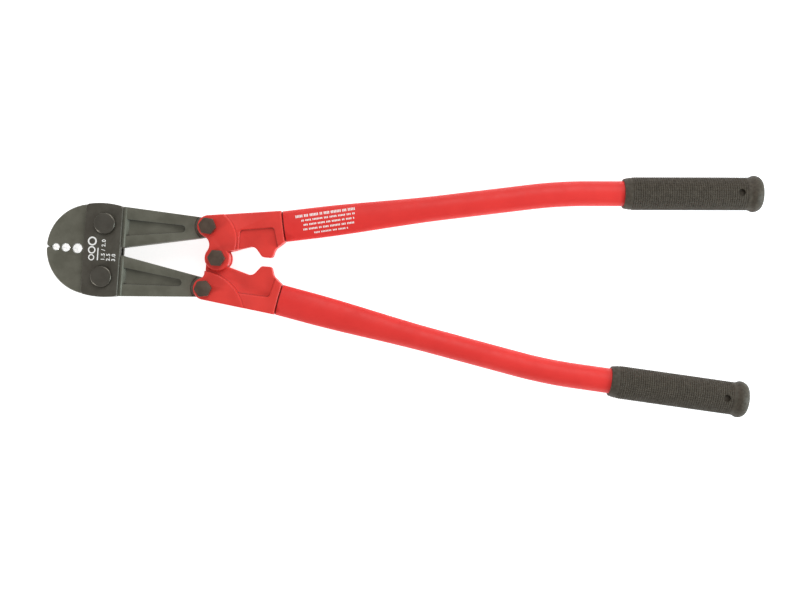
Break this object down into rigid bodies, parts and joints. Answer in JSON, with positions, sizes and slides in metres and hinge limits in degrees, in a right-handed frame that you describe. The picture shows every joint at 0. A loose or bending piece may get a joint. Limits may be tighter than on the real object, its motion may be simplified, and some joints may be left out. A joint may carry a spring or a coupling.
{
  "type": "hand swaging tool",
  "caption": "Long handled compound lever crimping tool with closed round dies, side plates and tubular handles with rubber grips.",
  "frame": {"origin": "end of the centre bolt on the plane of the three link nuts, which the tool lies on", "axes": "+X along the tool from the centre pivot to the grips, +Y towards the upper handle, +Z along the pivots, towards the bolt heads"},
  "size_m": [0.6071, 0.2082, 0.0361],
  "materials": {
    "plate_steel": "satin black-brown",
    "jaw_steel": "dull phosphated grey-green steel",
    "red_casting": "red enamel on a casting",
    "red_tube": "glossy red enamel",
    "grip_rubber": "matt, finely ribbed",
    "bolt_steel": "black oxide",
    "bush_steel": "turned"
  },
  "bodies": {
    "side_plates": {"front_side_plate": "plate_steel", "back_side_plate": "plate_steel", "upper_jaw_bolt": "bolt_steel", "lower_jaw_bolt": "bolt_steel", "upper_jaw_washer": "bolt_steel", "lower_jaw_washer": "bolt_steel", "upper_jaw_nut": "bolt_steel", "lower_jaw_nut": "bolt_steel"},
    "upper_jaw": {"upper_jaw": "jaw_steel"},
    "lower_jaw": {"lower_jaw": "jaw_steel"},
    "upper_handle": {"upper_handle_head": "red_casting", "upper_handle_tube": "red_tube", "upper_grip": "grip_rubber", "upper_link_bolt": "bolt_steel", "upper_link_washer": "bolt_steel", "upper_link_nut": "bolt_steel", "upper_adjusting_bush": "bush_steel", "centre_bolt": "bolt_steel", "centre_washer": "bolt_steel", "centre_nut": "bolt_steel"},
    "lower_handle": {"lower_handle_head": "red_casting", "lower_handle_tube": "red_tube", "lower_grip": "grip_rubber", "lower_link_bolt": "bolt_steel", "lower_link_washer": "bolt_steel", "lower_link_nut": "bolt_steel", "lower_adjusting_bush": "bush_steel"}
  },
  "joints": [
    {"name": "upper_jaw_pivot", "type": "hinge", "parent": "side_plates", "child": "upper_jaw", "pos_m": [-0.09615, 0.0225, 0.01955], "axis": [0, 0, 1], "range_deg": [-7.97, 0]},
    {"name": "lower_jaw_pivot", "type": "hinge", "parent": "side_plates", "child": "lower_jaw", "pos_m": [-0.09615, -0.0225, 0.01955], "axis": [0, 0, 1], "range_deg": [0, 7.97]},
    {"name": "upper_handle_pivot", "type": "hinge", "parent": "upper_jaw", "child": "upper_handle", "pos_m": [-0.0091, 0.02665, 0.01955], "axis": [0, 0, 1], "range_deg": [0, 50.4]},
    {"name": "lower_handle_pivot", "type": "hinge", "parent": "lower_jaw", "child": "lower_handle", "pos_m": [-0.0091, -0.02665, 0.01955], "axis": [0, 0, 1], "range_deg": [-50.41, 0]}
  ],
  "couplings": [
    {"joint": "upper_jaw_pivot", "follows": "upper_handle_pivot", "ratio": -0.158},
    {"joint": "lower_jaw_pivot", "follows": "upper_handle_pivot", "ratio": 0.158},
    {"joint": "lower_handle_pivot", "follows": "upper_handle_pivot", "ratio": -1}
  ]
}
